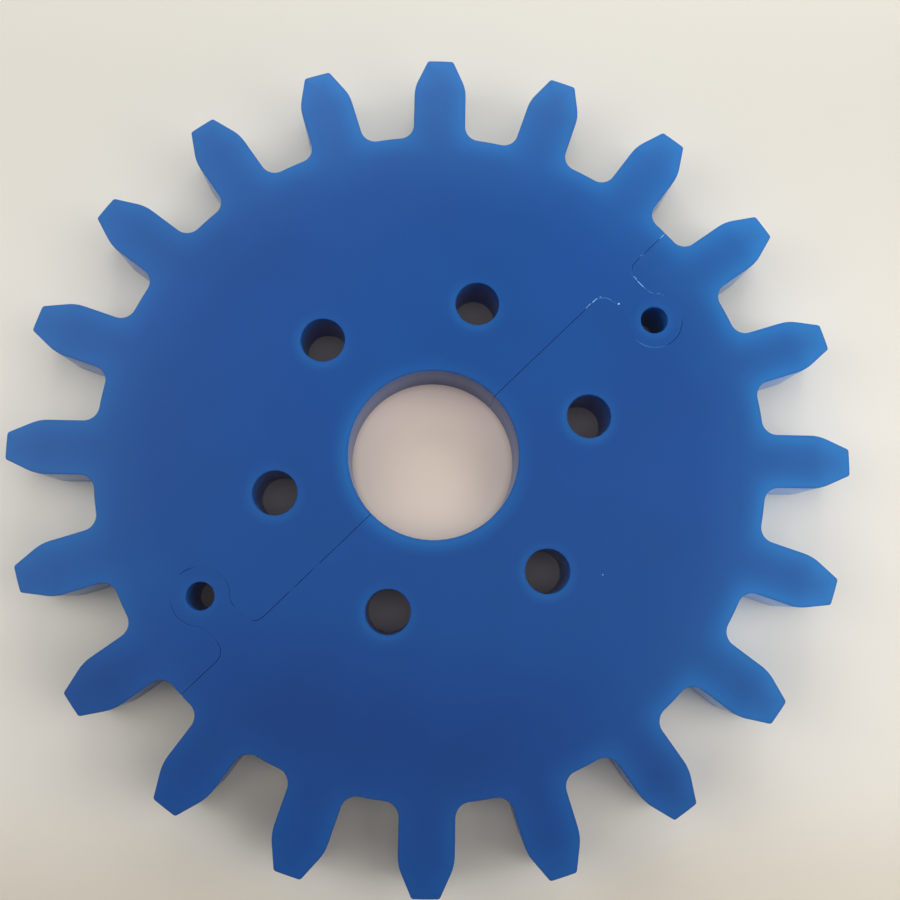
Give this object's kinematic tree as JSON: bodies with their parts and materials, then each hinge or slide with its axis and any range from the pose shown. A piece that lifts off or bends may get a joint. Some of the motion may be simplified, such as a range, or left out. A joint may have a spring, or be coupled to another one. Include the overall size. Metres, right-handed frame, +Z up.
{
  "type": "split sprocket",
  "caption": "Flat plastic plate sprocket for a mesh belt, split across its bore into two equal halves that lock by a round knob and socket.",
  "frame": {"origin": "on the bore axis, in the plate's lower face", "axes": "+Z up along the bore axis, through the plate; +X along the split line, through a tooth gap; +Y towards the rear half"},
  "size_m": [0.2478, 0.2478, 0.02],
  "materials": {
    "rear_plastic": "satin cut plate, royal blue",
    "front_plastic": "satin cut plate, royal blue"
  },
  "bodies": {
    "root": {"rear_half": "rear_plastic", "front_half": "front_plastic"}
  },
  "joints": []
}
